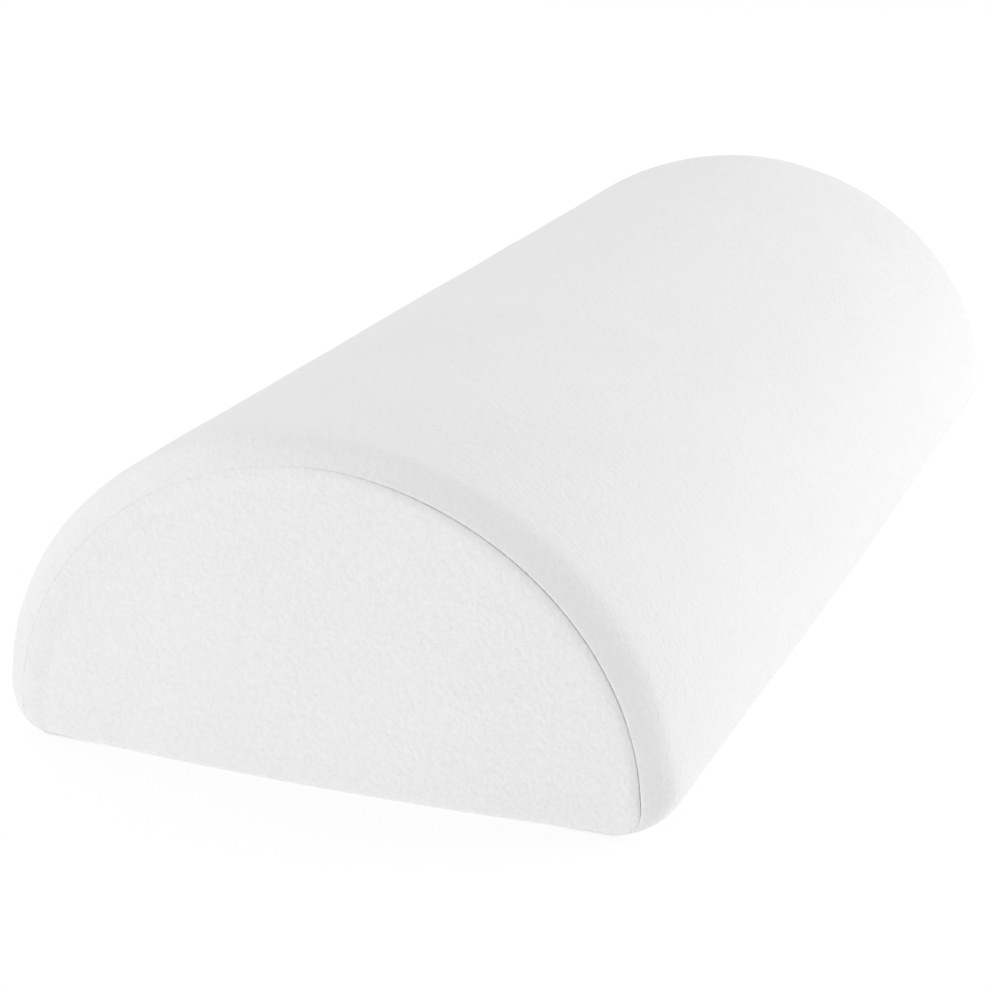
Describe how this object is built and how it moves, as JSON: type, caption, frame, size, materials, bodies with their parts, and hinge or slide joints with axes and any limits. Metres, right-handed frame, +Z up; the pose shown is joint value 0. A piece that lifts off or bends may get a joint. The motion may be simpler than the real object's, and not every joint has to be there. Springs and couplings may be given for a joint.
{
  "type": "half-moon bolster pillow",
  "caption": "Half-moon bolster pillow: a foam core in a knit liner, in a white velour cover with half-moon end panels and a zip along the hidden long side.",
  "frame": {"origin": "middle of the flat base, on the surface that the pillow lies on", "axes": "+X to the pillow's right side (the zip is on the left side), +Y along its length from the front end to the rear end, +Z up from the base to the crown"},
  "size_m": [0.2083, 0.45, 0.0994],
  "materials": {
    "velour": "short brushed pile, white",
    "foam": "open-cell memory foam, cream",
    "knit": "thin white jersey knit",
    "thread": "white polyester sewing thread",
    "zip_tape": "woven white polyester tape",
    "zip_nylon": "white nylon coil",
    "zip_metal": "white enamelled zinc",
    "label": "blank white satin"
  },
  "bodies": {
    "root": {"foam_core": "foam", "liner_sleeve": "knit", "liner_end_front": "knit", "liner_end_rear": "knit", "liner_seam_thread_front": "thread", "liner_seam_thread_rear": "thread", "cover_wrap": "velour", "cover_end_front": "velour", "cover_end_rear": "velour", "cover_seam_thread_front": "thread", "cover_seam_thread_rear": "thread", "zip_tape_upper": "zip_tape", "zip_tape_lower": "zip_tape", "zip_coil_upper": "zip_nylon", "zip_coil_lower": "zip_nylon", "zip_top_stop_upper": "zip_nylon", "zip_top_stop_lower": "zip_nylon", "zip_bottom_stop": "zip_nylon", "zip_stitch_upper": "thread", "zip_stitch_lower": "thread", "zip_bar_tack_front": "thread", "zip_bar_tack_rear": "thread", "care_label": "label"},
    "slider": {"zip_slider": "zip_metal"},
    "pull": {"zip_pull": "zip_metal"}
  },
  "joints": [
    {"name": "zip_slide", "type": "slide", "parent": "root", "child": "slider", "axis": [0, 1, 0], "range_m": [0, 0.3409]},
    {"name": "pull_hinge", "type": "hinge", "parent": "slider", "child": "pull", "pos_m": [-0.10426, -0.17095, 0.01926], "axis": [0.1045, 0, 0.9945], "range_deg": [0, 180]}
  ]
}
